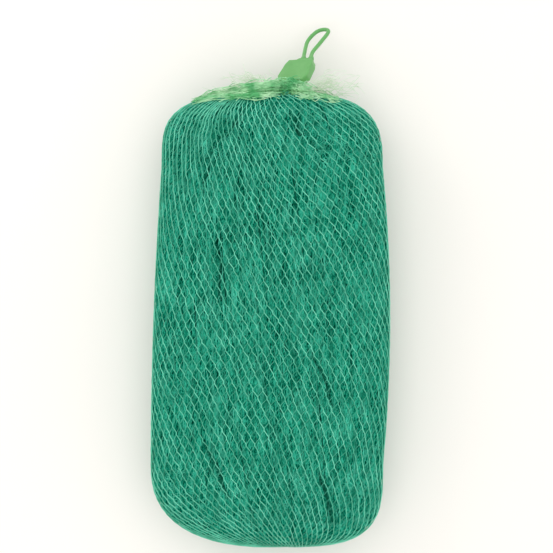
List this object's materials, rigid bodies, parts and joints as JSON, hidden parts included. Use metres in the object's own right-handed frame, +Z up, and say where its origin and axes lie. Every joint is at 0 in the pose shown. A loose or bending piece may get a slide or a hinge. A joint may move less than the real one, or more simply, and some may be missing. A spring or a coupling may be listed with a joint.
{
  "type": "mesh produce bag",
  "caption": "Tubular diamond-net produce bag packed tight with folded green netting, gathered at the neck and closed by a moulded clip with a hanging loop.",
  "frame": {"origin": "middle of the resting underside's bounding box, at floor level, with the bag lying on its back", "axes": "+X across the bag to the right, +Y along the bag from the foot to the clip, +Z up through the thickness"},
  "size_m": [0.1728, 0.3768, 0.08],
  "materials": {
    "net": "light green translucent polyethylene net strand",
    "netting": "dark green fine knitted netting, matte",
    "clip_plastic": "satin moulded green polyethylene",
    "crimp": "plain pressed metal band"
  },
  "bodies": {
    "bag": {"net_sleeve": "net", "netting_fold_front_1": "netting", "netting_fold_front_2": "netting", "netting_fold_front_3": "netting", "netting_fold_front_4": "netting", "netting_fold_front_5": "netting", "netting_fold_front_6": "netting", "netting_fold_back_1": "netting", "netting_fold_back_2": "netting", "netting_fold_back_3": "netting", "netting_fold_back_4": "netting", "netting_fold_back_5": "netting", "net_foot_gather": "net", "foot_crimp": "crimp", "net_tail_left": "net", "net_tail_right": "net"},
    "neck": {"net_neck": "net"},
    "clip": {"clip_housing": "clip_plastic", "net_pinch": "net"},
    "plug": {"clip_plug": "clip_plastic"},
    "loop": {"hanging_loop": "clip_plastic"}
  },
  "joints": [
    {"name": "neck_sway", "type": "hinge", "parent": "bag", "child": "neck", "pos_m": [0.0116, 0.13798, 0.0505], "axis": [0, 0, 1], "range_deg": [-20, 35]},
    {"name": "clip_nod", "type": "hinge", "parent": "neck", "child": "clip", "pos_m": [0.01345, 0.14167, 0.04786], "axis": [0.84, -0.0333, 0.5415], "range_deg": [-10, 60]},
    {"name": "plug_slide", "type": "slide", "parent": "clip", "child": "plug", "axis": [0.3772, 0.7533, -0.5388], "range_m": [0, 0.012]},
    {"name": "loop_flex", "type": "hinge", "parent": "plug", "child": "loop", "pos_m": [0.0264, 0.16343, 0.03354], "axis": [0.84, -0.0333, 0.5415], "range_deg": [-40, 40], "stiffness_Nm_per_rad": 0.002}
  ]
}
